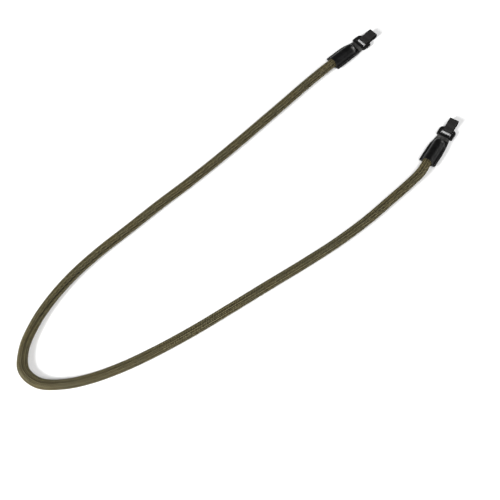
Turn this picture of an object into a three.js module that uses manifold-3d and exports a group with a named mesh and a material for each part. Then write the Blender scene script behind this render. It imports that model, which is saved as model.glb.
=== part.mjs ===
// A camera neck strap lying on a table: one braided rope bent into a long U. At each end the rope goes into
// a sewn leather sleeve, whose tab is folded round one bar of a flat plastic buckle. A narrow tape goes round
// the buckle's other bar and makes the lug loop.
// Millimetres, +Z up. The table is z = 0, and +Y is the way the two ends point.
import * as THREE from 'three';
import { mergeVertices } from 'three/addons/utils/BufferGeometryUtils.js';
import Module from 'manifold-3d';

// Rope
const ropeDiameter = 10;
const ropeSides = 12;
const ropeSteps = 80;
const ropeTipLength = 3;
const ropeTipRadius = 4.6;
const entryLength = 15;
const entryHeight = 6.05;

// Leather sleeve, measured along the strap from the cut edge where the rope goes in
const leatherThickness = 1.2;
const seatGap = 0.3;
const sleeveAxisHeight = 6.3;
const ropeDepth = 28.6;
const domeLength = 4.6;
const tubeSides = 24;
const domeSteps = 5;
const tipRings = 8;
const tabEnd = 40;

// The strip of thinner leather at the end of the tab, folded round the buckle's near bar
const strip = { width: 10, thickness: 1.1, lap: 2.4, lapCorner: 0.9, foldCorner: 1.6, barCorner: 0.6 };

// Buckle, a flat plastic ring, measured along the strap from its near edge
const buckleWidth = 19;
const buckleThickness = 2.4;
const buckleBevel = 0.5;
const nearCorner = 2.2;
const farCorner = 4;
const slotCorner = 0.8;
const nearBarWidth = 2.8;
const slotLength = 7.2;
const farBarWidth = 3;

// Tape
const tapeWidth = 10.2;
const tapeThickness = 1;
const lowTapeHeight = 0.7;
const arcStep = Math.PI / 8;

// The tape's lug loop past the buckle, with the place of its seam, and the radii that the tape bends to
const loop = { start: 0.6, rise: 3, seam: 6, length: 12.7, height: 6 };
const bend = { roundBar: 1.2, loopRise: 4, loopEnd: 2.4 };

// The two ends: where the rope enters the sleeve, and the way the sleeve points, to the right of +Y
const endAngle = THREE.MathUtils.degToRad(8);
const ends = [
  { side: 'left', x: -62, y: 216, heading: endAngle },
  { side: 'right', x: 97.4, y: 173, heading: -endAngle },
];

// The rope's free run from the left sleeve round the bend to the right one: x, y and height of its middle
const freeRun = [
  [-67.5, 172, 5.1], [-70, 140, 5], [-73, 105, 5], [-76, 70, 5], [-80, 30, 5], [-85, -10, 5],
  [-91, -50, 5], [-96, -90, 5], [-101, -128, 5], [-103.4, -165, 5], [-101.5, -200, 5], [-95.5, -231, 5],
  [-84, -259, 5], [-68, -275.5, 5], [-48, -276, 5], [-29, -262.5, 5], [-12, -241, 5], [4, -212, 5],
  [18, -179, 5], [32, -139.5, 5], [45, -96.5, 5], [58, -52, 5], [71, -8.5, 5], [82, 32.5, 5],
  [90, 72.5, 5], [95, 112, 5], [98, 138, 5.1],
];

// Side view of the sewn edges: the height of their middle and their thickness along the sleeve
const sewnEdge = [
  { along: 0, middle: 4.2, thickness: 2 * leatherThickness },
  { along: 24, middle: 4.2, thickness: 2 * leatherThickness },
  { along: 29, middle: 3.4, thickness: 2.8 },
  { along: 34, middle: 2.2, thickness: 3.8 },
  { along: tabEnd, middle: 2.05, thickness: 4 },
];

// Top view of the sleeve: half its width along it
const sleeveOutline = [
  { along: 0, half: 9.5 },
  { along: 22, half: 9.5 },
  { along: 30, half: 8.6 },
  { along: tabEnd, half: 7 },
];

const wasm = await Module();
wasm.setup();

// A closed geometry as a solid that can be joined and cut
function toSolid(geometry) {
  const bare = geometry.clone();
  bare.deleteAttribute('normal');
  bare.deleteAttribute('uv');
  const merged = mergeVertices(bare, 1e-4);
  const mesh = new wasm.Mesh({
    numProp: 3,
    vertProperties: new Float32Array(merged.attributes.position.array),
    triVerts: new Uint32Array(merged.index.array),
  });
  return new wasm.Manifold(mesh);
}

function toGeometry(solid) {
  const mesh = solid.getMesh();
  const geometry = new THREE.BufferGeometry();
  geometry.setAttribute('position', new THREE.BufferAttribute(mesh.vertProperties, 3));
  geometry.setIndex(new THREE.BufferAttribute(mesh.triVerts, 1));
  geometry.computeVertexNormals();
  return geometry;
}

// A shape drawn from the side, along the strap and upwards, made as wide as given across the strap
function wideAcross(shape, width) {
  const geometry = new THREE.ExtrudeGeometry(shape, { depth: width, bevelEnabled: false });
  geometry.rotateX(Math.PI / 2);
  geometry.translate(0, width / 2, 0);
  return geometry;
}

// A round body along the strap with one domed end, centred on the rope in the sleeve
function domedRod(radius, start, straightEnd, dome) {
  const profile = [new THREE.Vector2(0, start), new THREE.Vector2(radius, start)];
  for (let i = 0; i < domeSteps; i += 1) {
    const angle = (i / domeSteps) * Math.PI / 2;
    profile.push(new THREE.Vector2(radius * Math.cos(angle), straightEnd + dome * Math.sin(angle)));
  }
  profile.push(new THREE.Vector2(0, straightEnd + dome));
  const geometry = new THREE.LatheGeometry(profile, tubeSides);
  geometry.rotateZ(-Math.PI / 2);
  geometry.translate(0, 0, sleeveAxisHeight);
  return geometry;
}

// A rectangle with its own corner radius at each end, drawn along the strap and half to each side of it
function roundedRectangle(PathClass, start, end, half, startRadius, endRadius) {
  const path = new PathClass();
  path.moveTo(start + startRadius, -half);
  path.lineTo(end - endRadius, -half);
  path.absarc(end - endRadius, -half + endRadius, endRadius, -Math.PI / 2, 0);
  path.absarc(end - endRadius, half - endRadius, endRadius, 0, Math.PI / 2);
  path.lineTo(start + startRadius, half);
  path.absarc(start + startRadius, half - startRadius, startRadius, Math.PI / 2, Math.PI);
  path.absarc(start + startRadius, -half + startRadius, startRadius, Math.PI, Math.PI * 1.5);
  path.closePath();
  return path;
}

const buckleLength = nearBarWidth + slotLength + farBarWidth;
const buckleStart = tabEnd + seatGap;
const buckleBottom = lowTapeHeight + tapeThickness / 2 + seatGap;
const buckleTop = buckleBottom + buckleThickness;

// The strip from the side: a band round the near bar, with both its ends lapped onto the tab
function stripGeometry() {
  const inside = buckleThickness / 2 + seatGap;
  const foldStart = tabEnd - strip.lap;
  const foldEnd = buckleStart + nearBarWidth + seatGap;
  const end = foldEnd + strip.thickness;
  const outside = inside + strip.thickness;
  const band = roundedRectangle(THREE.Shape, foldStart, end, outside, strip.lapCorner, strip.foldCorner);
  band.holes.push(roundedRectangle(THREE.Path, tabEnd, foldEnd, inside, strip.barCorner, strip.barCorner));
  const geometry = wideAcross(band, strip.width);
  geometry.translate(0, 0, (buckleBottom + buckleTop) / 2);
  return geometry;
}

// The folded leather: two layers sewn along both edges, bulged round the rope, flat again at the tab
function sleeveGeometry() {
  const upper = sewnEdge.map((row) => new THREE.Vector2(row.along, row.middle + row.thickness / 2));
  const lower = sewnEdge.map((row) => new THREE.Vector2(row.along, row.middle - row.thickness / 2));
  const sideView = new THREE.Shape([...lower, ...upper.reverse()]);
  const nearHalf = sleeveOutline.map((row) => new THREE.Vector2(row.along, -row.half));
  const farHalf = sleeveOutline.map((row) => new THREE.Vector2(row.along, row.half));
  const topView = new THREE.Shape([...nearHalf, ...farHalf.reverse()]);
  const tallest = 4 * sleeveAxisHeight; // taller and wider than the whole sleeve
  const edges = toSolid(wideAcross(sideView, tallest));
  const outline = toSolid(new THREE.ExtrudeGeometry(topView, { depth: tallest, bevelEnabled: false }));

  const ropeRadius = ropeDiameter / 2;
  const pocketRadius = ropeRadius + seatGap;
  const pocketDome = ropeTipLength + 2 * seatGap;
  const tube = toSolid(domedRod(pocketRadius + leatherThickness, 0, ropeDepth, domeLength));
  const pocket = toSolid(domedRod(pocketRadius, -1, ropeDepth, pocketDome));

  const table = new THREE.BoxGeometry(2 * tallest + tabEnd, tallest, tallest);
  table.translate(0, 0, -tallest / 2);

  const leather = edges.intersect(outline).add(tube).add(toSolid(stripGeometry()));
  return toGeometry(leather.subtract(pocket).subtract(toSolid(table)));
}

// The buckle: a flat ring with one slot between its two bars
function buckleGeometry() {
  const slotHalf = tapeWidth / 2 + 2 * seatGap;
  const slotEnd = nearBarWidth + slotLength;
  const frame = roundedRectangle(THREE.Shape, 0, buckleLength, buckleWidth / 2, nearCorner, farCorner);
  frame.holes.push(roundedRectangle(THREE.Path, nearBarWidth, slotEnd, slotHalf, slotCorner, slotCorner));
  const geometry = new THREE.ExtrudeGeometry(frame, {
    depth: buckleThickness - 2 * buckleBevel,
    bevelThickness: buckleBevel,
    bevelSize: buckleBevel,
    bevelOffset: -buckleBevel,
    bevelSegments: 2,
    curveSegments: 4,
  });
  geometry.translate(buckleStart, 0, buckleBottom + buckleBevel);
  return geometry;
}

// The line through the corners, each rounded by its own radius, as evenly turned short steps
function roundedLine(corners) {
  const points = [new THREE.Vector2(corners[0].x, corners[0].z)];
  for (let i = 1; i < corners.length - 1; i += 1) {
    const corner = new THREE.Vector2(corners[i].x, corners[i].z);
    const back = new THREE.Vector2(corners[i - 1].x, corners[i - 1].z).sub(corner).normalize();
    const on = new THREE.Vector2(corners[i + 1].x, corners[i + 1].z).sub(corner).normalize();
    const half = Math.acos(THREE.MathUtils.clamp(back.dot(on), -1, 1)) / 2;
    const { radius } = corners[i];
    const toCentre = back.clone().add(on).normalize().multiplyScalar(radius / Math.sin(half));
    const centre = toCentre.add(corner);
    const first = back.clone().multiplyScalar(radius / Math.tan(half)).add(corner).sub(centre);
    const turn = (Math.PI - 2 * half) * Math.sign(on.cross(back));
    const steps = Math.max(2, Math.ceil(Math.abs(turn) / arcStep));
    for (let k = 0; k <= steps; k += 1) {
      points.push(first.clone().rotateAround(new THREE.Vector2(), (turn * k) / steps).add(centre));
    }
  }
  const last = corners[corners.length - 1];
  points.push(new THREE.Vector2(last.x, last.z));
  return points;
}

// A line's neighbour at a distance to its left, kept parallel to every step
function besideLine(points, distance) {
  return points.map((point, i) => {
    const before = point.clone().sub(points[Math.max(i - 1, 0)]);
    const after = points[Math.min(i + 1, points.length - 1)].clone().sub(point);
    const into = (before.length() > 0 ? before : after).normalize();
    const out = (after.length() > 0 ? after : into).clone().normalize();
    const normal = new THREE.Vector2(-into.y - out.y, into.x + out.x).normalize();
    const stretch = distance / normal.dot(new THREE.Vector2(-into.y, into.x));
    return normal.multiplyScalar(stretch).add(point);
  });
}

// The tape from the side, one closed band: from its seam below back to the buckle, up through the slot,
// over the far bar and round the lug loop to the seam again
function tapeGeometry() {
  const buckleEnd = buckleStart + buckleLength;
  const low = lowTapeHeight;
  const overBar = buckleTop + seatGap + tapeThickness / 2;
  const inSlot = buckleEnd - farBarWidth - seatGap - tapeThickness / 2;
  const loopStart = buckleEnd + loop.start;
  const loopEnd = buckleEnd + loop.length;
  const loopTop = low + loop.height;
  const seam = { x: buckleEnd + loop.seam, z: low };
  const line = roundedLine([
    seam,
    { x: inSlot, z: low, radius: bend.roundBar },
    { x: inSlot, z: overBar, radius: bend.roundBar },
    { x: loopStart, z: overBar, radius: bend.loopRise },
    { x: loopStart + loop.rise, z: loopTop, radius: bend.loopRise },
    { x: loopEnd, z: loopTop, radius: bend.loopEnd },
    { x: loopEnd, z: low, radius: bend.loopEnd },
    seam,
  ]);
  const outside = besideLine(line, tapeThickness / 2).slice(1, -1);
  const inside = besideLine(line, -tapeThickness / 2).slice(1, -1);
  const band = new THREE.Shape(outside);
  band.holes.push(new THREE.Path(inside.reverse()));
  return wideAcross(band, tapeWidth);
}

// A point on the rope's middle inside a sleeve, or outside it where the depth is negative
function inSleeve(end, depth, height) {
  return new THREE.Vector3(
    end.x + depth * Math.sin(end.heading),
    end.y + depth * Math.cos(end.heading),
    height,
  );
}

function ropeGeometry() {
  const [leftEnd, rightEnd] = ends;
  const depths = [0, ropeDepth / 2, ropeDepth];
  const leftStretch = depths.map((depth) => inSleeve(leftEnd, depth, sleeveAxisHeight)).reverse();
  const rightStretch = depths.map((depth) => inSleeve(rightEnd, depth, sleeveAxisHeight));
  const route = new THREE.CatmullRomCurve3([
    ...leftStretch,
    inSleeve(leftEnd, -entryLength, entryHeight),
    ...freeRun.map(([x, y, z]) => new THREE.Vector3(x, y, z)),
    inSleeve(rightEnd, -entryLength, entryHeight),
    ...rightStretch,
  ], false, 'centripetal');
  const section = new THREE.Shape();
  for (let i = 0; i < ropeSides; i += 1) {
    const angle = (i / ropeSides) * 2 * Math.PI;
    const point = [Math.cos(angle) * ropeDiameter / 2, Math.sin(angle) * ropeDiameter / 2];
    if (i === 0) {
      section.moveTo(...point);
    } else {
      section.lineTo(...point);
    }
  }
  section.closePath();
  const tube = new THREE.ExtrudeGeometry(section, { steps: ropeSteps, extrudePath: route });
  let rope = toSolid(tube);
  for (const end of ends) {
    const tip = new THREE.SphereGeometry(ropeTipRadius, ropeSides, tipRings);
    tip.scale(1, ropeTipLength / ropeTipRadius, 1);
    tip.rotateZ(-end.heading);
    tip.translate(...inSleeve(end, ropeDepth, sleeveAxisHeight).toArray());
    rope = rope.add(toSolid(tip));
  }
  return toGeometry(rope);
}

const finishes = {
  rope: { color: 0x5b5639, roughness: 0.75, metalness: 0 },
  sleeve: { color: 0x232326, roughness: 0.5, metalness: 0 },
  buckle: { color: 0x1a1917, roughness: 0.4, metalness: 0 },
  webbing: { color: 0x1c1b1a, roughness: 0.8, metalness: 0 },
};

function namedMesh(name, geometry, finish) {
  const mesh = new THREE.Mesh(geometry, new THREE.MeshStandardMaterial(finishes[finish]));
  mesh.name = name;
  return mesh;
}

const strap = new THREE.Group();
strap.add(namedMesh('rope', ropeGeometry(), 'rope'));
for (const end of ends) {
  const fitting = new THREE.Group();
  fitting.position.set(end.x, end.y, 0);
  fitting.rotation.z = Math.PI / 2 - end.heading;
  fitting.add(namedMesh(`${end.side}_sleeve`, sleeveGeometry(), 'sleeve'));
  fitting.add(namedMesh(`${end.side}_buckle`, buckleGeometry(), 'buckle'));
  fitting.add(namedMesh(`${end.side}_webbing`, tapeGeometry(), 'webbing'));
  strap.add(fitting);
}

export default strap;
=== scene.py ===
import math

import bmesh
import bpy
import numpy as np
from mathutils import Matrix, Vector, geometry, noise


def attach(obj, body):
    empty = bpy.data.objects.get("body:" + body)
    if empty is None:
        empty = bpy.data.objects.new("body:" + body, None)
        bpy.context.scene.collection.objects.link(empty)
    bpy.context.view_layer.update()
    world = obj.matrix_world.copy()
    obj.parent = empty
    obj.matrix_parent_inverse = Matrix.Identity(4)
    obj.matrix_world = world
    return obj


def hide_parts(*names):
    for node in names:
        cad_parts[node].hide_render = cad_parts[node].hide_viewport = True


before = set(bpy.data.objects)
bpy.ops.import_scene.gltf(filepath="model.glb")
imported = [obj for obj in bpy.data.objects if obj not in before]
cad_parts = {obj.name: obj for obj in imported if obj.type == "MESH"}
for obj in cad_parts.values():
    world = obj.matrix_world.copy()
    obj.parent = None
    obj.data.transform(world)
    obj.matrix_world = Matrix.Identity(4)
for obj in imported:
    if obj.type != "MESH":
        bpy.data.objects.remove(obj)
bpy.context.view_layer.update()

mm = 0.001
collection = bpy.context.scene.collection
print("frame loaded with", len(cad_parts), "nodes")


# the camera

camera = {
    "place": (0.4394, -0.5508, 1.165),
    "looksAt": (0.0161, -0.0281, 0.0),
    "lens": 93.6,
    "sensor": 36.0,
}


def addCamera():
    data = bpy.data.cameras.new("camera")
    data.sensor_width = camera["sensor"]
    data.lens = camera["lens"]
    eye = bpy.data.objects.new("camera", data)
    eye.location = camera["place"]
    way = Vector(camera["looksAt"]) - eye.location
    eye.rotation_euler = way.to_track_quat("-Z", "Y").to_euler()
    collection.objects.link(eye)
    bpy.context.scene.camera = eye


addCamera()
print("camera set")


# helpers for meshes

def addPiece(name, mesh, slotName, finish, *replaced):
    piece = bpy.data.objects.new(name, mesh)
    collection.objects.link(piece)
    mesh.materials.clear()
    mesh.materials.append(finish)
    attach(piece, "root")
    if replaced:
        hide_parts(*replaced)
    return piece


def meshFrom(bm, name):
    mesh = bpy.data.meshes.new(name)
    bm.to_mesh(mesh)
    bm.free()
    return mesh


def roundedOff(cage, levels):
    # the cage's own subdivision surface, as a plain mesh
    holder = bpy.data.objects.new("holder", cage)
    collection.objects.link(holder)
    rounding = holder.modifiers.new("rounding", "SUBSURF")
    rounding.levels = rounding.render_levels = levels
    shown = holder.evaluated_get(bpy.context.evaluated_depsgraph_get())
    mesh = bpy.data.meshes.new_from_object(shown)
    bpy.data.objects.remove(holder)
    bpy.data.meshes.remove(cage)
    return mesh


def closeUp(bm):
    bmesh.ops.holes_fill(bm, edges=[edge for edge in bm.edges if edge.is_boundary], sides=0)
    bmesh.ops.recalc_face_normals(bm, faces=bm.faces)


def skinRings(bm, rings, uvName, around, along):
    # a grid whose rows are closed rings, one after the other, with both ends filled
    count = len(rings[0])
    made = bmesh.ops.create_grid(bm, x_segments=count, y_segments=len(rings) - 1, size=1)["verts"]
    uv = bm.loops.layers.uv.new(uvName)
    bm.verts.index_update()
    for face in bm.faces:
        for loop in face.loops:
            row, column = divmod(loop.vert.index, count + 1)
            loop[uv].uv = (around[column], along[row])
    for vert in made:
        row, column = divmod(vert.index, count + 1)
        vert.co = rings[row][column % count]
    bmesh.ops.remove_doubles(bm, verts=made, dist=1e-4)     # joins the two ends of each row
    closeUp(bm)


def addAttribute(mesh, name, values):
    layer = mesh.attributes.new(name, "FLOAT", "POINT")
    layer.data.foreach_set("value", np.asarray(values, np.float32))


def pointsOf(mesh):
    points = np.zeros(len(mesh.vertices) * 3, np.float32)
    mesh.vertices.foreach_get("co", points)
    return points.reshape(-1, 3).astype(float)


def movePoints(mesh, points):
    mesh.vertices.foreach_set("co", points.astype(np.float32).ravel())


def smoothStep(value, low, high):
    share = np.clip((value - low) / (high - low), 0, 1)
    return share * share * (3 - 2 * share)


# helpers for finishes

def newFinish(name, **sockets):
    finish = bpy.data.materials.new(name)
    finish.use_nodes = True
    shader = finish.node_tree.nodes["Principled BSDF"]
    for key, value in sockets.items():
        shader.inputs[key.replace("_", " ")].default_value = value
    return finish, finish.node_tree, shader


def addNode(tree, kind, sockets, **settings):
    node = tree.nodes.new("ShaderNode" + kind)
    for key, value in settings.items():
        setattr(node, key, value)
    for key, value in sockets.items():
        if isinstance(value, bpy.types.NodeSocket):
            tree.links.new(value, node.inputs[key])
        else:
            node.inputs[key].default_value = value
    return node


def placeNode(tree):
    return addNode(tree, "TexCoord", {}).outputs["Object"]


def uvNode(tree, name):
    return addNode(tree, "UVMap", {}, uv_map=name).outputs["UV"]


def attributeNode(tree, name):
    return addNode(tree, "Attribute", {}, attribute_name=name).outputs["Fac"]


def noiseNode(tree, place, scale, detail, roughness=0.5):
    sockets = {"Vector": place, "Scale": scale, "Detail": detail, "Roughness": roughness}
    return addNode(tree, "TexNoise", sockets).outputs["Fac"]


def waveNode(tree, place, direction, scale, **more):
    sockets = {"Vector": place, "Scale": scale, **more}
    return addNode(tree, "TexWave", sockets, wave_type="BANDS", bands_direction=direction).outputs["Fac"]


def mathNode(tree, operation, *values):
    return addNode(tree, "Math", dict(enumerate(values)), operation=operation).outputs[0]


def rampNode(tree, factor, stops):
    ramp = addNode(tree, "ValToRGB", {0: factor})
    elements = ramp.color_ramp.elements
    while len(elements) < len(stops):
        elements.new(0.5)
    for element, (position, colour) in zip(elements, stops):
        element.position = position
        element.color = (*colour, 1)
    return ramp.outputs["Color"]


def greys(stops):
    return [(position, (shade,) * 3) for position, shade in stops]


def setBump(tree, shader, height, strength, distance):
    bump = addNode(tree, "Bump", {"Height": height, "Strength": strength, "Distance": distance})
    tree.links.new(bump.outputs["Normal"], shader.inputs["Normal"])


# the two ends: the sleeve's mouth, which way it points to the right of +Y, how much its dome is rubbed
# and painted with a highlight, and the seed of its wrinkles

ends = {
    "left": {"mouth": (-62 * mm, 216 * mm), "heading": math.radians(8), "domeRubAndHighlight": 0.78, "seed": 40},
    "right": {"mouth": (97.4 * mm, 173 * mm), "heading": math.radians(-8), "domeRubAndHighlight": 0.5, "seed": 90},
}


def endMatrix(side):
    # fittings are drawn in millimetres, x from the mouth towards the lug, z up from the table
    x, y = ends[side]["mouth"]
    turn = Matrix.Rotation(math.pi / 2 - ends[side]["heading"], 4, "Z")
    return Matrix.Translation((x, y, 0)) @ turn @ Matrix.Scale(mm, 4)


# the rope

rope = {
    "diameter": 10 * mm,
    "carriers": 40,           # yarns round the rope, half of them leaning each way
    "stitch": 2.05 * mm,      # from one yarn to the next along a rib
    "relief": 0.7 * mm,       # crowns over grooves
    "crown": 5.05 * mm,       # radius over the crowns
    "slope": 0.36 * mm,       # width of a crown's side
    "cornerDrop": 0.62,       # a crown's ends, as a share of its middle
    "pairWidth": 4,           # columns from one pair of yarns to the next
    "yarns": {                # corners of a pair's yarns, by lean, in columns and half stitches
        1: [(-1, 0), (0, -1), (1, 0), (2, 1), (1, 2), (0, 1)],
        -1: [(1, 0), (2, -1), (3, -2), (4, -1), (3, 0), (2, 1)],
    },
    "weld": 0.02 * mm,        # points closer than this are one
    "turned": [(0.39, 8.5), (0.555, 62.5)],   # metres along it, and degrees that its ribs have turned
    "pinch": (31.5, 7.0, 0.55 * mm),          # crease along one rib, darkened with painted shade: place and width in degrees, and depth
    "pinched": [              # metres along it, and the share of that depth and of its painted shade
        (0, 0.5), (0.33, 0.5), (0.42, 1), (0.47, 1), (0.52, 0.6), (0.65, 0.3), (1.1, 0.4),
    ],
    "tip": 3 * mm,            # rounded, melted end
    "tipShare": 0.95,         # of the tip, before it ends flat
    "slack": 0.04,            # wider by this share where it lies free
    "slackFrom": (29 * mm, 45 * mm),          # from its ends, where the slack sets in
    "flatten": 0.13,          # and by this share more where it bends most
    "sink": 0.25,             # and lower by this share of both
    "tightBend": 30 * mm,
    "bendReach": 12,          # steps each way that even out its bend
    "steps": 24,              # from one point of the run to the next
    "depth": 28.6,            # of each end in its sleeve, in mm
    "axis": 6.3,              # height in the sleeve, in mm
    "entry": (-15, 6.05),     # a point just out of the sleeve, and its height, in mm
    "freeRun": [
        (-0.0675, 0.172, 0.0051), (-0.070, 0.140, 0.005), (-0.073, 0.105, 0.005), (-0.076, 0.070, 0.005),
        (-0.080, 0.030, 0.005), (-0.085, -0.010, 0.005), (-0.091, -0.050, 0.005), (-0.096, -0.090, 0.005),
        (-0.101, -0.128, 0.005), (-0.1034, -0.165, 0.005), (-0.1015, -0.200, 0.005),
        (-0.0955, -0.231, 0.005), (-0.084, -0.259, 0.005), (-0.068, -0.2755, 0.005),
        (-0.048, -0.276, 0.005), (-0.029, -0.2625, 0.005), (-0.012, -0.241, 0.005), (0.004, -0.212, 0.005),
        (0.018, -0.179, 0.005), (0.032, -0.1395, 0.005), (0.045, -0.0965, 0.005), (0.058, -0.052, 0.005),
        (0.071, -0.0085, 0.005), (0.082, 0.0325, 0.005), (0.090, 0.0725, 0.005), (0.095, 0.112, 0.005),
        (0.098, 0.138, 0.0051),
    ],
    "colours": [              # from the painted shade in the grooves to the lightest fibres
        (0.22, (0.002, 0.0017, 0.0006)), (0.62, (0.060, 0.049, 0.0205)), (1.0, (0.205, 0.179, 0.098)),
    ],
    "tints": [(0.3, (0.92, 0.95, 1.0)), (0.7, (1.0, 0.97, 0.9))],  # in patches along it
    "roughness": [(0.5, 0.95), (1.0, 0.24)],
    "toneAndGlints": (1.5, -0.85),  # tone of each yarn, with painted glints of its fibres: contrast and level
    # painted light and shade by the lean of each yarn
    "leanPaintedLight": 0.09,
    # painted shade in the crease along the pinched rib
    "pinchPaintedShade": -0.5,
    "strandShade": 0.16,
}


def smoothLine(points, steps):
    # centripetal curve through the points, as short steps
    points = [Vector(point) for point in points]
    points = [2 * points[0] - points[1], *points, 2 * points[-1] - points[-2]]
    line = []
    for a, b, c, d in zip(points, points[1:], points[2:], points[3:]):
        ab, bc, cd = (math.sqrt((q - p).length) for p, q in ((a, b), (b, c), (c, d)))
        leaving = ((b - a) / ab - (c - a) / (ab + bc) + (c - b) / bc) * bc
        coming = ((c - b) / bc - (d - b) / (bc + cd) + (d - c) / cd) * bc
        line += geometry.interpolate_bezier(b, b + leaving / 3, c - coming / 3, c, steps + 1)[:-1]
    return np.array([*line, points[-2]])


def ropeLine():
    depth, axis = rope["depth"], rope["axis"]
    inside = [(depth, axis), (depth / 2, axis), (0, axis), rope["entry"]]
    left = [endMatrix("left") @ Vector((x, 0, z)) for x, z in inside]
    right = [endMatrix("right") @ Vector((x, 0, z)) for x, z in reversed(inside)]
    return smoothLine([*left, *rope["freeRun"], *right], rope["steps"])


def addYarn(bm, lean, corners, column, row):
    uv = bm.loops.layers.uv["yarn"]
    leaning = bm.verts.layers.float["leaning"]
    before = set(bm.faces)
    crown = bm.faces.new([bm.verts.new((x * column, y * row, 0)) for x, y in corners])
    crown.normal_update()
    bmesh.ops.inset_individual(
        bm, faces=[crown], thickness=rope["slope"], depth=rope["relief"], use_even_offset=True
    )
    middle = [loop.vert for loop in crown.loops if loop.calc_angle() > 3]     # on its straight sides
    for vert in crown.verts:
        vert[leaning] = lean
        if vert not in middle:
            vert.co.z *= rope["cornerDrop"]
    bmesh.ops.connect_verts(bm, verts=middle)
    way = Vector((column, lean * row, 0)).normalized()
    across = Vector((-way.y, way.x, 0))
    for face in set(bm.faces) - before:
        for loop in face.loops:
            loop[uv].uv = (loop.vert.co.dot(way) / mm, loop.vert.co.dot(across) / mm)


def flatBraid(rows, stitch):
    # the braid drawn flat, x round the rope and y along it: pairs of yarns that lean right and left
    bm = bmesh.new()
    bm.loops.layers.uv.new("yarn")
    bm.verts.layers.float.new("leaning")
    column = math.pi * rope["diameter"] / rope["carriers"]
    for lean, corners in rope["yarns"].items():
        addYarn(bm, lean, corners, column, stitch / 2)
    pairs = rope["carriers"] // rope["pairWidth"]
    for step, count in (((rope["pairWidth"] * column, 0, 0), pairs), ((0, stitch, 0), rows)):
        drawn = [*bm.verts, *bm.edges, *bm.faces]
        bmesh.ops.spin(
            bm, geom=drawn, axis=(0, 0, 1), dvec=step, angle=0, steps=count - 1, use_duplicate=True
        )
    bmesh.ops.remove_doubles(bm, verts=bm.verts, dist=rope["weld"])
    return bm


def lineAxes(line, lengths):
    # along, sideways and up, at each point of the line
    ways = np.gradient(line, lengths, axis=0)
    ways /= np.linalg.norm(ways, axis=1)[:, None]
    sides = np.cross((0, 0, 1), ways)
    sides /= np.linalg.norm(sides, axis=1)[:, None]
    return ways, sides, np.cross(ways, sides)


def widening(along, fromEnd, ways, lengths):
    reach = rope["bendReach"]
    window = np.full(2 * reach + 1, 1 / (2 * reach + 1))
    curving = np.linalg.norm(np.gradient(ways, lengths, axis=0), axis=1)
    curving = np.convolve(np.pad(curving, reach, "edge"), window, "valid")
    bent = np.clip(curving * rope["tightBend"], 0, 1) ** 2
    wider = rope["flatten"] * np.interp(along, lengths, bent)
    return wider + rope["slack"] * smoothStep(fromEnd, *rope["slackFrom"])


def bendRound(flat, line, lengths):
    # rolls the flat braid up and lays it along the line
    total = lengths[-1]
    along = flat[:, 1] - flat[:, 1].min()
    along *= total / along.max()
    fromEnd = np.minimum(along, total - along)
    rib = np.degrees(flat[:, 0] / (rope["diameter"] / 2))
    (turnStart, before), (turnEnd, after) = rope["turned"]
    angle = np.radians(rib + before + (after - before) * smoothStep(along, turnStart, turnEnd))
    place, width, depth = rope["pinch"]
    pinch = np.exp(-(((rib - place + 180) % 360 - 180) / width) ** 2)
    pinch *= np.interp(along, *zip(*rope["pinched"]))
    tip = 1 - np.clip(1 - fromEnd / rope["tip"], 0, rope["tipShare"]) ** 2
    radius = (rope["crown"] - rope["relief"] + flat[:, 2] - depth * pinch) * np.sqrt(tip)
    ways, sides, ups = lineAxes(line, lengths)
    wider = widening(along, fromEnd, ways, lengths)

    def at(values):
        return np.stack([np.interp(along, lengths, values[:, k]) for k in range(3)], axis=1)

    outwards = at(sides) * (np.cos(angle) * (1 + wider))[:, None]
    outwards += at(ups) * (np.sin(angle) * (1 - wider * rope["sink"]))[:, None]
    return at(line) + outwards * radius[:, None], pinch


def ropeFinish():
    finish, tree, shader = newFinish("olive braid", Roughness=0.5, Specular_IOR_Level=0.17)
    place = placeNode(tree)
    fibres = {"Distortion": 2.0, "Detail": 2, "Detail Scale": 1.5}
    strands = waveNode(tree, uvNode(tree, "yarn"), "Y", scale=1.5, **fibres)
    # tone of each yarn; its finer detail paints glints of the fibres
    toneAndGlints = noiseNode(tree, place, scale=620, detail=4, roughness=0.75)
    patch = noiseNode(tree, place, scale=60, detail=2)
    shade = mathNode(tree, "MULTIPLY_ADD", toneAndGlints, *rope["toneAndGlints"])
    # painted shade in the grooves between the yarns, from the crowns' height
    shade = mathNode(tree, "ADD", shade, attributeNode(tree, "crown"))
    # painted light and shade by the lean of each yarn
    shade = mathNode(tree, "MULTIPLY_ADD", attributeNode(tree, "leaning"), rope["leanPaintedLight"], shade)
    # painted shade in the pinched crease
    shade = mathNode(tree, "MULTIPLY_ADD", attributeNode(tree, "pinch"), rope["pinchPaintedShade"], shade)
    shade = mathNode(tree, "MULTIPLY_ADD", strands, rope["strandShade"], shade)
    colour = rampNode(tree, shade, rope["colours"])
    tint = rampNode(tree, patch, rope["tints"])
    both = {0: 1.0, 6: colour, 7: tint}       # its factor, then its two colours
    mixed = addNode(tree, "Mix", both, data_type="RGBA", blend_type="MULTIPLY")
    tree.links.new(mixed.outputs[2], shader.inputs["Base Color"])
    tree.links.new(rampNode(tree, shade, greys(rope["roughness"])), shader.inputs["Roughness"])
    setBump(tree, shader, strands, strength=0.5, distance=0.04 * mm)
    return finish


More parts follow.
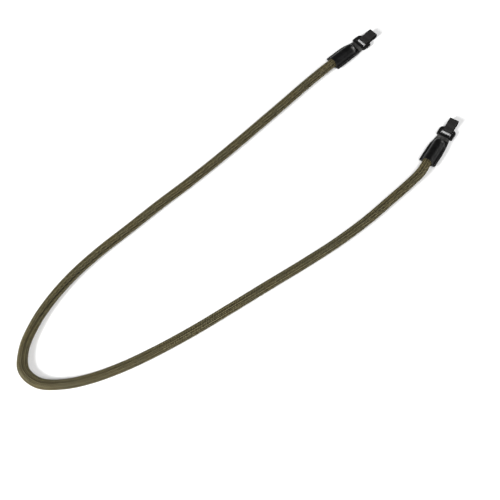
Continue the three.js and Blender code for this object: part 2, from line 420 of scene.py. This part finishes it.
def addRope():
    line = ropeLine()
    lengths = np.concatenate([[0], np.cumsum(np.linalg.norm(np.diff(line, axis=0), axis=1))])
    rows = round(lengths[-1] / rope["stitch"])
    mesh = meshFrom(flatBraid(rows, lengths[-1] / rows), "braided_rope")
    flat = pointsOf(mesh)
    addAttribute(mesh, "crown", flat[:, 2] / rope["relief"])
    bent, pinch = bendRound(flat, line, lengths)
    addAttribute(mesh, "pinch", pinch)
    movePoints(mesh, bent)
    bm = bmesh.new()
    bm.from_mesh(mesh)
    bmesh.ops.remove_doubles(bm, verts=bm.verts, dist=rope["weld"])
    closeUp(bm)
    bm.to_mesh(mesh)
    bm.free()
    mesh.shade_smooth()
    piece = addPiece("braided_rope", mesh, "braided_rope", ropeFinish(), "rope")
    print(f"rope: {lengths[-1]:.3f} m, {len(mesh.polygons)} faces")


addRope()


# the leather sleeves, in millimetres

sleeve = {
    "length": 40.0,           # cut edge to the end of the tab
    "tubeRadius": 6.5,
    "axis": 6.3,              # height of the rope's middle
    "tubeEnd": 28.6,          # where the dome over the rope's end begins
    "dome": 4.6,
    "domeEnd": 0.08,          # its narrowest, as a share of the tube
    "pocketRadius": 5.3,
    "pocket": [28.9, 28.4, 14, 1.0, 0.15],    # from its closed end to its lip
    "lip": [0.9, 0.06],       # rings on the cut edge, as shares of the way in
    "halfWidth": [(0, 9.5), (22, 9.5), (30, 8.6), (40, 7.0)],
    "edgeTop": [(0, 5.4), (24, 5.4), (29, 4.8), (34, 4.1), (40, 4.05)],
    "edgeBottom": [(0, 3.0), (24, 3.0), (29, 2.0), (34, 0.3), (40, 0.05)],
    "edgeRound": (0.3, 0.35),                 # of the cut edges, inwards and down
    "layerGap": 0.16,         # nick between the two layers
    "seam": 1.25,             # stitches in from the edge
    "seamDip": (0.4, 0.2),    # half its width, and its depth
    "crease": (0.25, 0.6, 0.12),              # beside the tube: out from it, clear of the seam, and up
    "tabFrom": (33.2, 36),    # where the points over the dome spread out on the tab
    "tabClear": 0.5,          # of the seam
    "tabHeight": 2.05,        # of the middle of its end
    "tabClosing": [0.06, 0.5],                # rings on that end, as shares of the way in
    "overRope": [90, 70, 50, 30, 11],         # angles of the section's points on the tube
    "underRope": [-34, -48, -63, -77, -90],
    "sewnAngles": (4, -30, 15),               # first, last and count of the pocket's points by a sewn edge
    "stations": [
        0.15, 0.8, 4, 8, 12, 16, 20, 24, 27, 28.6, 30.2, 31.6,
        32.5, 33.0, 33.2, 33.5, 34.3, 35.5, 37.4, 39.3, 39.85,
    ],
    "rounding": 2,            # subdivisions
    "swell": [(0.16, 0.10), (0.45, 0.05)],    # waves to the millimetre, and height
    "swellFrom": 0.4,         # height where it sets in
    "edgeWear": (0.3, 0.5),   # how much, and how far from the edge
    "mouthWear": (0.3, 0.5),  # how much, and how far from the mouth
    "tabPaintedSheen": (0.6, (35.0, 35.8), (3.4, 3.9)),  # painted sheen of the flat tab: how much, and where it sets in along x and in height
    "domeRubAndHighlight": (28.6, -3.1, 2.6, 3.0),         # rubbed patch with a painted highlight on the dome: x, y and its reach along each
    "domeRubAndHighlightFrom": (4.5, 6.5),                 # height where it sets in
    "polished": ((25, 29), (4.5, 7)),         # along x and in height
    "colours": [              # from fresh to rubbed, and to painted sheen and highlight
        (0.1, (0.001, 0.001, 0.001)), (0.45, (0.005, 0.005, 0.005)), (1.0, (0.150, 0.147, 0.142)),
    ],
    "roughness": [(0.25, 0.32), (0.75, 0.48)],
    "polish": -0.2,           # of the roughness
    "wornAndSheenWeight": 0.7,
    "cloudShade": 0.5,
    "poreHeight": 0.5,
}


def sleeveAt(name, x):
    return float(np.interp(x, *zip(*sleeve[name])))


def halfSection(x):
    # from the top middle over one sewn edge to the bottom middle, as (y, z)
    half, top, bottom = (sleeveAt(name, x) for name in ("halfWidth", "edgeTop", "edgeBottom"))
    middle = (top + bottom) / 2
    seam = half - sleeve["seam"]
    groove, dip = sleeve["seamDip"]
    inward, down = sleeve["edgeRound"]
    gap = sleeve["layerGap"]
    over, under = sleeve["overRope"], sleeve["underRope"]
    rise = math.sqrt(max(0, 1 - max(0, (x - sleeve["tubeEnd"]) / sleeve["dome"]) ** 2))
    width = sleeve["tubeRadius"] * max(rise, sleeve["domeEnd"])
    spread = float(smoothStep(x, *sleeve["tabFrom"])) * (seam - sleeve["tabClear"])
    shares = len(over) + 2
    points = []
    for k, angle in enumerate(map(math.radians, over)):
        y = max(width * math.cos(angle), spread * k / shares)
        high = sleeve["axis"] + sleeve["tubeRadius"] * math.sin(angle)
        points.append((y, top + rise * (high - top)))
    out, clear, up = sleeve["crease"]
    crease = min(max(width + out, spread * len(over) / shares), seam - clear)
    points += [
        (crease, top + up * rise), ((crease + seam - groove) / 2, top), (seam - groove, top),
        (seam, top - dip), (seam + groove, top), (half - inward, top), (half, top - down),
        (half, middle + gap), (half - gap, middle), (half, middle - gap), (half, bottom + down),
        (half - inward, bottom), (seam + groove, bottom), (seam, bottom + dip), (seam - groove, bottom),
    ]
    for k, angle in enumerate(map(math.radians, under)):
        y = max(width * math.cos(angle), spread * (len(under) - 1 - k) / len(under))
        low = max(sleeve["axis"] + sleeve["tubeRadius"] * math.sin(angle), 0)
        points.append((y, bottom + rise * (low - bottom)))
    return points


def bothHalves(x, half):
    return [Vector((x, y, z)) for y, z in half] + [Vector((x, -y, z)) for y, z in half[-2:0:-1]]


def outsideRing(x):
    return bothHalves(x, halfSection(x))


def pocketRing(x):
    angles = [*sleeve["overRope"], *np.linspace(*sleeve["sewnAngles"]), *sleeve["underRope"]]
    radius = sleeve["pocketRadius"]
    half = []
    for angle in map(math.radians, angles):
        half.append((radius * math.cos(angle), sleeve["axis"] + radius * math.sin(angle)))
    return bothHalves(x, half)


def between(first, second, share):
    return [a.lerp(b, share) for a, b in zip(first, second)]


def sleeveCage():
    mouth, mouthHole = outsideRing(0), pocketRing(0)
    tabEnd = outsideRing(sleeve["length"])
    tabMiddle = [Vector((sleeve["length"], 0, sleeve["tabHeight"]))] * len(tabEnd)
    rings = [
        *(pocketRing(x) for x in sleeve["pocket"]),
        *(between(mouth, mouthHole, share) for share in sleeve["lip"]),
        *(outsideRing(x) for x in sleeve["stations"]),
        *(between(tabEnd, tabMiddle, share) for share in sleeve["tabClosing"]),
    ]
    bm = bmesh.new()
    skinRings(bm, rings, "leather", range(len(rings[0]) + 1), range(len(rings)))
    return meshFrom(bm, "sleeve")


def wrinkle(mesh, seed):
    # shallow unevenness of cut and sewn leather, fading out underneath
    points = pointsOf(mesh)
    moved = points.copy()
    for k, vert in enumerate(mesh.vertices):
        place = Vector((vert.co.x + seed, vert.co.y, vert.co.z))
        swell = sum(height * noise.noise(place * pace) for pace, height in sleeve["swell"])
        swell *= min(1, max(0, vert.co.z - sleeve["swellFrom"]))
        moved[k] += np.array(vert.normal) * swell
    movePoints(mesh, moved)
    return points


def wearAndSheen(points, domeRubAndHighlight):
    # 0 on fresh leather, 1 where rubbed grey; the tab's sheen and the dome's highlight are painted in too
    x, y, z = points.T
    half = np.interp(x, *zip(*sleeve["halfWidth"]))
    amount, reach = sleeve["edgeWear"]
    wornAndSheen = amount * smoothStep(np.abs(y), half - reach, half)
    # painted sheen on the tab
    amount, along, up = sleeve["tabPaintedSheen"]
    wornAndSheen += amount * smoothStep(x, *along) * smoothStep(z, *up)
    amount, reach = sleeve["mouthWear"]
    wornAndSheen += amount * (1 - smoothStep(x, 0, reach))
    # rubbed patch with a painted highlight on the dome's end
    patchX, patchY, reachX, reachY = sleeve["domeRubAndHighlight"]
    patch = ((x - patchX) / reachX) ** 2 + ((y - patchY) / reachY) ** 2
    wornAndSheen += domeRubAndHighlight * np.exp(-patch) * smoothStep(z, *sleeve["domeRubAndHighlightFrom"])
    return np.clip(wornAndSheen, 0, 1)


def leatherFinish():
    finish, tree, shader = newFinish("black leather", Roughness=0.42, Specular_IOR_Level=0.13)
    place = placeNode(tree)
    grain = addNode(tree, "TexVoronoi", {"Vector": place, "Scale": 1500}, feature="SMOOTH_F1")
    pores = noiseNode(tree, place, scale=2600, detail=3)
    cloud = noiseNode(tree, place, scale=220, detail=3)
    shade = mathNode(tree, "MULTIPLY", cloud, sleeve["cloudShade"])
    # lighter where rubbed, and where sheen and highlight are painted
    shade = mathNode(tree, "MULTIPLY_ADD", attributeNode(tree, "wornAndSheen"), sleeve["wornAndSheenWeight"], shade)
    tree.links.new(rampNode(tree, shade, sleeve["colours"]), shader.inputs["Base Color"])
    rough = rampNode(tree, cloud, greys(sleeve["roughness"]))
    rough = mathNode(tree, "MULTIPLY_ADD", attributeNode(tree, "polished"), sleeve["polish"], rough)
    tree.links.new(rough, shader.inputs["Roughness"])
    height = mathNode(tree, "MULTIPLY_ADD", pores, sleeve["poreHeight"], grain.outputs["Distance"])
    setBump(tree, shader, height, strength=0.35, distance=0.08 * mm)
    return finish


stitching = {
    "pitch": 2.6,
    "halfLength": 1.0,        # of one stitch
    "halfThick": 0.33,
    "flat": 0.8,              # its height, as a share of its thickness
    "segments": (8, 5),       # round it and along it
    "sunk": 0.1,
    "slant": 0.12,
    "first": 1.9,
    "last": 37.0,
    "lastBelow": 30.0,        # further on the underside lies on the table
    "acrossAt": 38.4,
    "acrossHeight": 5.12,
    "across": [-3.6, -1.2, 1.2, 3.6],
    "colours": [(0.3, (0.016, 0.016, 0.017)), (0.7, (0.060, 0.058, 0.055))],
}


def addStitch(bm, place, turn, slope):
    thick = stitching["halfThick"]
    sides, lengths = stitching["segments"]
    shape = Matrix.Diagonal((stitching["halfLength"], thick, thick * stitching["flat"], 1))
    turned = Matrix.Rotation(turn, 4, "Z") @ Matrix.Rotation(-slope, 4, "Y")
    lying = Matrix.Rotation(math.pi / 2, 4, "Y")      # the sphere's poles are the stitch's ends
    matrix = Matrix.Translation(place) @ turned @ shape @ lying
    bmesh.ops.create_uvsphere(bm, u_segments=sides, v_segments=lengths, radius=1, matrix=matrix)


def slopeAt(name, x):
    # angle of one of the sleeve's lines, over the millimetre about x
    return math.atan(sleeveAt(name, x + 0.5) - sleeveAt(name, x - 0.5))


def stitchMesh():
    bm = bmesh.new()
    sunk, slant = stitching["sunk"], stitching["slant"]
    for x in np.arange(stitching["first"], stitching["last"], stitching["pitch"]):
        for side in (-1, 1):
            turn = side * slopeAt("halfWidth", x)
            y = side * (sleeveAt("halfWidth", x) - sleeve["seam"])
            top = sleeveAt("edgeTop", x) - sunk
            addStitch(bm, (x, y, top), turn + slant, slopeAt("edgeTop", x))
            if x < stitching["lastBelow"]:
                bottom = sleeveAt("edgeBottom", x) + sunk
                addStitch(bm, (x, y, bottom), turn - slant, slopeAt("edgeBottom", x))
    for y in stitching["across"]:
        addStitch(bm, (stitching["acrossAt"], y, stitching["acrossHeight"]), math.pi / 2, 0)
    return meshFrom(bm, "stitching")


def threadFinish():
    finish, tree, shader = newFinish("black thread", Roughness=0.5, Specular_IOR_Level=0.3)
    twist = noiseNode(tree, placeNode(tree), scale=4000, detail=1)
    tree.links.new(rampNode(tree, twist, stitching["colours"]), shader.inputs["Base Color"])
    setBump(tree, shader, twist, strength=0.4, distance=0.05 * mm)
    return finish


def addSleeves(leather):
    thread = threadFinish()
    for side in ends:
        mesh = roundedOff(sleeveCage(), sleeve["rounding"])
        points = wrinkle(mesh, ends[side]["seed"])
        addAttribute(mesh, "wornAndSheen", wearAndSheen(points, ends[side]["domeRubAndHighlight"]))
        along, up = sleeve["polished"]
        polished = smoothStep(points[:, 0], *along) * smoothStep(points[:, 2], *up)
        addAttribute(mesh, "polished", polished)
        sewn = stitchMesh()
        for made in (mesh, sewn):
            made.transform(endMatrix(side))
            made.shade_smooth()
        addPiece(side + "_leather_sleeve", mesh, "black_leather", leather, side + "_sleeve")
        addPiece(side + "_sleeve_stitches", sewn, "black_leather", thread)
        print(side, "sleeve:", len(mesh.polygons), "faces")


blackLeather = leatherFinish()
addSleeves(blackLeather)


# the plastic buckles, in millimetres

buckle = {
    "start": 40.3,
    "bottom": 1.5,
    "thick": 2.4,
    "half": 9.5,
    "nearBar": (0, 2.8),
    "farBar": (10.0, 13.0),
    "slotHalf": 5.7,
    "nearCorner": 2.2,
    "farCorner": 4.0,
    "slotCorner": 0.8,
    "cornerPoints": 9,
    "edge": 0.75,             # rounding of all edges
    "edgeSteps": 3,
    "weld": 1e-3,
    "sharp": math.radians(40),
    "colours": [(0.3, (0.002, 0.002, 0.002)), (0.75, (0.006, 0.0055, 0.005))],
    "roughness": [(0.3, 0.30), (0.7, 0.45)],
}


def roundedOutline(start, end, half, startCorner, endCorner):
    # counter-clockwise from the near side, each corner an arc
    corners = [
        (start, -half, startCorner, 180), (end, -half, endCorner, 270),
        (end, half, endCorner, 0), (start, half, startCorner, 90),
    ]
    points = []
    for x, y, radius, first in corners:
        centre = Vector((x + math.copysign(radius, start + end - 2 * x), y - math.copysign(radius, y)))
        for turn in np.linspace(first, first + 90, buckle["cornerPoints"]):
            angle = math.radians(turn)
            points.append((centre.x + radius * math.cos(angle), centre.y + radius * math.sin(angle)))
    return points


def buckleMesh():
    near, far = buckle["nearBar"], buckle["farBar"]
    drawing = bpy.data.curves.new("buckle", "CURVE")
    drawing.dimensions = "2D"
    drawing.fill_mode = "BOTH"
    drawing.extrude = buckle["thick"] / 2 - buckle["edge"]
    drawing.bevel_depth = buckle["edge"]
    drawing.offset = -buckle["edge"]
    drawing.bevel_resolution = buckle["edgeSteps"]
    outlines = [
        roundedOutline(near[0], far[1], buckle["half"], buckle["nearCorner"], buckle["farCorner"]),
        roundedOutline(near[1], far[0], buckle["slotHalf"], buckle["slotCorner"], buckle["slotCorner"]),
    ]
    for outline in outlines:
        spline = drawing.splines.new("POLY")
        spline.points.add(len(outline) - 1)
        spline.use_cyclic_u = True
        for point, (x, y) in zip(spline.points, outline):
            point.co = (x, y, 0, 1)
    holder = bpy.data.objects.new("holder", drawing)
    mesh = bpy.data.meshes.new_from_object(holder)
    bpy.data.objects.remove(holder)
    bm = bmesh.new()
    bm.from_mesh(mesh)
    bmesh.ops.remove_doubles(bm, verts=bm.verts, dist=buckle["weld"])
    bmesh.ops.recalc_face_normals(bm, faces=bm.faces)
    middle = (buckle["start"], 0, buckle["bottom"] + buckle["thick"] / 2)
    bmesh.ops.translate(bm, verts=bm.verts, vec=middle)
    bm.to_mesh(mesh)
    bm.free()
    return mesh


def plasticFinish():
    finish, tree, shader = newFinish("black plastic", Roughness=0.38, Specular_IOR_Level=0.28)
    place = placeNode(tree)
    sand = noiseNode(tree, place, scale=5000, detail=2)
    cloud = noiseNode(tree, place, scale=300, detail=3)
    tree.links.new(rampNode(tree, cloud, buckle["colours"]), shader.inputs["Base Color"])
    tree.links.new(rampNode(tree, cloud, greys(buckle["roughness"])), shader.inputs["Roughness"])
    setBump(tree, shader, sand, strength=0.25, distance=0.03 * mm)
    return finish


def addBuckles():
    plastic = plasticFinish()
    for side in ends:
        mesh = buckleMesh()
        mesh.transform(endMatrix(side))
        mesh.shade_smooth()
        mesh.set_sharp_from_angle(angle=buckle["sharp"])
        addPiece(side + "_plastic_buckle", mesh, "black_plastic", plastic, side + "_buckle")
    print("buckles:", len(mesh.polygons), "faces each")


addBuckles()


# the tapes and the leather strips, bands seen from the side, in millimetres

tape = {
    "half": 5.1,
    "thick": 1.0,
    "profile": [              # in from the edge, and the share of the thickness, with a thicker selvedge
        (0, 0), (0.1, 0.6), (0.4, 0.95), (0.6, 1), (0.9, 0.86), (3.0, 0.84), (5.1, 0.84),
    ],
    "line": [                 # x, height and bend radius of its middle, lapped below the lug loop
        (58.8, 1.72, 0), (55.0, 1.72, 1.5), (53.7, 0.7, 1.5), (49.5, 0.7, 1.2), (49.5, 4.7, 1.2),
        (53.9, 4.7, 4.0), (56.9, 6.7, 4.0), (66.0, 6.7, 2.4), (66.0, 0.7, 2.4), (54.6, 0.7, 0),
    ],
    "colours": [(0.1, (0.002, 0.002, 0.002)), (1.0, (0.016, 0.015, 0.014))],
    "lumpShade": 0.5,
}
strip = {
    "half": 5.0,
    "thick": 1.1,
    "profile": [(0, 0), (0, 0.45), (0.12, 0.85), (0.4, 1), (2.5, 1), (5.0, 1)],  # cut edges rubbed round
    "line": [                 # from its sewn end on the tab, round the near bar, to the tab's end below
        (36.2, 4.35, 0), (39.4, 4.65, 6.0), (40.6, 4.75, 6.0),
        (43.95, 4.75, 1.1), (43.95, 0.65, 1.1), (38.6, 0.65, 0),
    ],
    "wornAndSheen": [                 # along x: painted sheen on the tab, painted shade where it rises onto the near bar, lighter beyond
        (36, 0.6), (39.2, 0.6), (39.9, 0.05), (42.0, 0.05), (42.6, 0.42), (45, 0.42),
    ],
}
bands = {
    "turn": math.radians(9),  # of a band's line in one step
    "sharp": math.radians(50),
}


def roundedPath(corners):
    points = [Vector(corners[0][:2])]
    for before, corner, after in zip(corners, corners[1:], corners[2:]):
        here = Vector(corner[:2])
        back = (Vector(before[:2]) - here).normalized()
        onward = (Vector(after[:2]) - here).normalized()
        half = back.angle(onward) / 2
        centre = here + (back + onward).normalized() * corner[2] / math.sin(half)
        first = here + back * corner[2] / math.tan(half) - centre
        turn = (math.pi - 2 * half) * math.copysign(1, onward.cross(back))
        steps = max(2, math.ceil(abs(turn) / bands["turn"]))
        for k in range(steps + 1):
            points.append(centre + Matrix.Rotation(turn * k / steps, 2) @ first)
    points.append(Vector(corners[-1][:2]))
    return points


def bandSection(band):
    # across and through a band, round from one edge to the other and back
    half, thick = band["half"], band["thick"] / 2
    side = [(half - inward, share * thick) for inward, share in band["profile"]]
    upper = [*side, *((-y, z) for y, z in reversed(side[:-1]))]
    return [*upper, *((y, -z) for y, z in upper[-2:0:-1])]


def bandMesh(band, uvName):
    path = roundedPath(band["line"])
    section = bandSection(band)
    rings = []
    for k, point in enumerate(path):
        way = path[min(k + 1, len(path) - 1)] - path[max(k - 1, 0)]
        out = Vector((-way.y, way.x)).normalized()
        rings.append([Vector((point.x + out.x * z, y, point.y + out.y * z)) for y, z in section])
    along = np.concatenate([[0], np.cumsum([(b - a).length for a, b in zip(path, path[1:])])])
    closed = [*section, section[0]]
    around = np.concatenate([[0], np.cumsum([math.dist(a, b) for a, b in zip(closed, closed[1:])])])
    bm = bmesh.new()
    skinRings(bm, rings, uvName, around, along)
    return meshFrom(bm, "band")


def tapeFinish():
    finish, tree, shader = newFinish(
        "black woven tape", Roughness=0.75, Specular_IOR_Level=0.2, Sheen_Weight=0.04
    )
    weave = uvNode(tree, "weave")
    warp = waveNode(tree, weave, "X", scale=0.36)
    weft = waveNode(tree, weave, "Y", scale=0.5)
    lumps = noiseNode(tree, weave, scale=1.3, detail=2)
    cells = mathNode(tree, "MULTIPLY", warp, weft)
    shade = mathNode(tree, "MULTIPLY_ADD", lumps, tape["lumpShade"], cells)
    tree.links.new(rampNode(tree, shade, tape["colours"]), shader.inputs["Base Color"])
    setBump(tree, shader, cells, strength=0.6, distance=0.12 * mm)
    return finish


def addBands(leather):
    woven = tapeFinish()
    for side in ends:
        loop = bandMesh(tape, "weave")
        fold = bandMesh(strip, "leather")
        # painted sheen and shade along the strip
        addAttribute(fold, "wornAndSheen", np.interp(pointsOf(fold)[:, 0], *zip(*strip["wornAndSheen"])))
        for mesh in (loop, fold):
            mesh.transform(endMatrix(side))
            mesh.shade_smooth()
            mesh.set_sharp_from_angle(angle=bands["sharp"])
        addPiece(side + "_lug_tape", loop, "black_tape", woven, side + "_webbing")
        addPiece(side + "_leather_strip", fold, "black_leather", leather)
    print("bands:", len(loop.polygons), "and", len(fold.polygons), "faces each")


addBands(blackLeather)


# floor and light

stage = {
    "floorHalf": 1.2,
    "floorDrop": 0.05 * mm,
    "floorColour": (0.88, 0.88, 0.88, 1),
    "world": 0.21,
    "worldColour": (1, 1, 1, 1),
    "lights": {               # place, size and power
        "key": ((-0.36, -1.95, 1.15), 0.72, 86.0),
        "top": ((1.8, -0.7, 2.8), 1.6, 76.0),
        "back": ((1.5, 2.6, 0.8), 0.8, 42.0),
    },
}


def addFloor():
    bm = bmesh.new()
    bmesh.ops.create_grid(bm, x_segments=1, y_segments=1, size=stage["floorHalf"])
    bmesh.ops.translate(bm, verts=bm.verts, vec=(0, 0, -stage["floorDrop"]))
    floor = bpy.data.objects.new("floor", meshFrom(bm, "floor"))
    collection.objects.link(floor)
    paint = newFinish("pale floor", Roughness=0.9, Base_Color=stage["floorColour"])[0]
    floor.data.materials.append(paint)


def addLights():
    world = bpy.data.worlds.new("studio")
    bpy.context.scene.world = world
    world.use_nodes = True
    tree = world.node_tree
    background = tree.nodes["Background"]
    background.inputs["Color"].default_value = stage["worldColour"]
    seen = addNode(tree, "LightPath", {}).outputs["Is Camera Ray"]     # white past the floor's edge
    tree.links.new(mathNode(tree, "MAXIMUM", seen, stage["world"]), background.inputs["Strength"])
    for name, (place, size, power) in stage["lights"].items():
        data = bpy.data.lights.new(name, "AREA")
        data.size = size
        data.energy = power
        lamp = bpy.data.objects.new(name, data)
        lamp.location = place
        lamp.rotation_euler = (-Vector(place)).to_track_quat("-Z", "Y").to_euler()
        collection.objects.link(lamp)


addFloor()
addLights()
bpy.context.scene.view_settings.view_transform = "Standard"
print("floor and light set")
